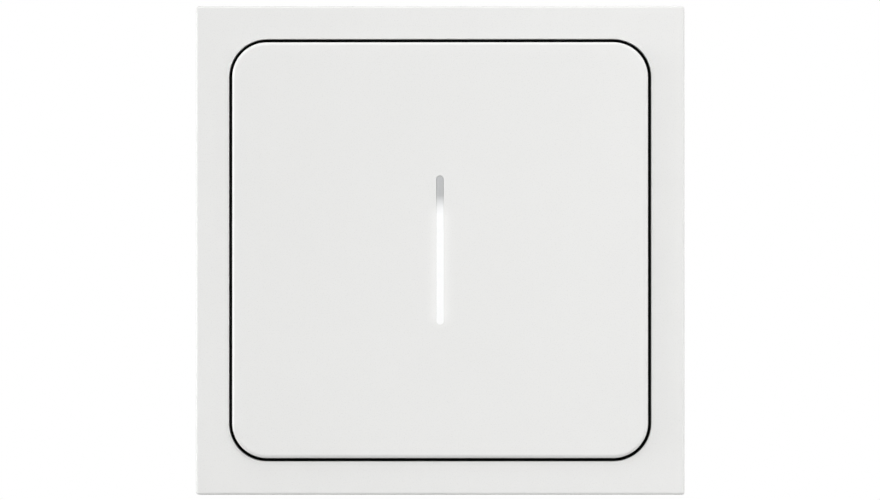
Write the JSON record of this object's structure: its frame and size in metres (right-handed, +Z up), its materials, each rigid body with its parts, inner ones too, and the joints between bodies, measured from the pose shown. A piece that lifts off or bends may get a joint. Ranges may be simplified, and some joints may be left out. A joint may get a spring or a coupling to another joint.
{
  "type": "smart dimmer switch",
  "caption": "Flush wall dimmer: square white cover frame, tilting white rocker with a lit bar in the middle, control module, steel support plate and in-wall power insert.",
  "frame": {"origin": "centre of the support plate's face on the wall, halfway between the two box screws", "axes": "+Z up, +X to the right as seen from the room, the front looks along -Y and the insert goes into the wall along +Y"},
  "size_m": [0.081, 0.0408, 0.081],
  "materials": {
    "white_plastic": "satin moulded white",
    "light_guide": "milky diffuser",
    "black_plastic": "fine-grained black",
    "circuit_board": "solder mask",
    "spring_steel": "bright rolled",
    "lamp": "clear lens",
    "reflector_white": "matt white",
    "chip_black": "moulding compound",
    "brass": "stamped",
    "zinc_steel": "zinc plated",
    "housing_grey": "fine-grained dark grey",
    "copper_winding": "enamelled wire",
    "capacitor_sleeve": "shrunk sleeve",
    "winding_tape": "taped",
    "film_yellow": "potted box",
    "fuse_brown": "moulded",
    "varistor_blue": "dipped",
    "aluminium": "sawn plate"
  },
  "bodies": {
    "insert": {"cover_frame": "white_plastic", "module_base": "black_plastic", "module_cover": "black_plastic", "control_board": "circuit_board", "snap_dome_upper": "spring_steel", "snap_dome_lower": "spring_steel", "indicator_leds": "lamp", "led_reflector": "reflector_white", "radio_shield": "spring_steel", "control_chips": "chip_black", "plug_insulator": "chip_black", "plug_pins": "brass", "support_plate": "zinc_steel", "housing_lid": "housing_grey", "rear_housing": "housing_grey", "power_board": "circuit_board", "socket_insulator": "chip_black", "filter_choke": "copper_winding", "bulk_capacitors": "capacitor_sleeve", "supply_transformer": "winding_tape", "film_capacitor": "film_yellow", "fuse": "fuse_brown", "varistor": "varistor_blue", "heat_spreader": "aluminium", "power_transistors": "chip_black", "terminal_contacts": "brass", "terminal_clamps": "zinc_steel", "terminal_screws": "zinc_steel"},
    "button": {"rocker": "white_plastic", "light_guide": "light_guide"}
  },
  "joints": [
    {"name": "rocker_tilt", "type": "hinge", "parent": "insert", "child": "button", "pos_m": [0, -0.0084, 0], "axis": [1, 0, 0], "range_deg": [-1.2, 1.2], "stiffness_Nm_per_rad": 3, "deforming": ["snap_dome_upper", "snap_dome_lower"]}
  ]
}
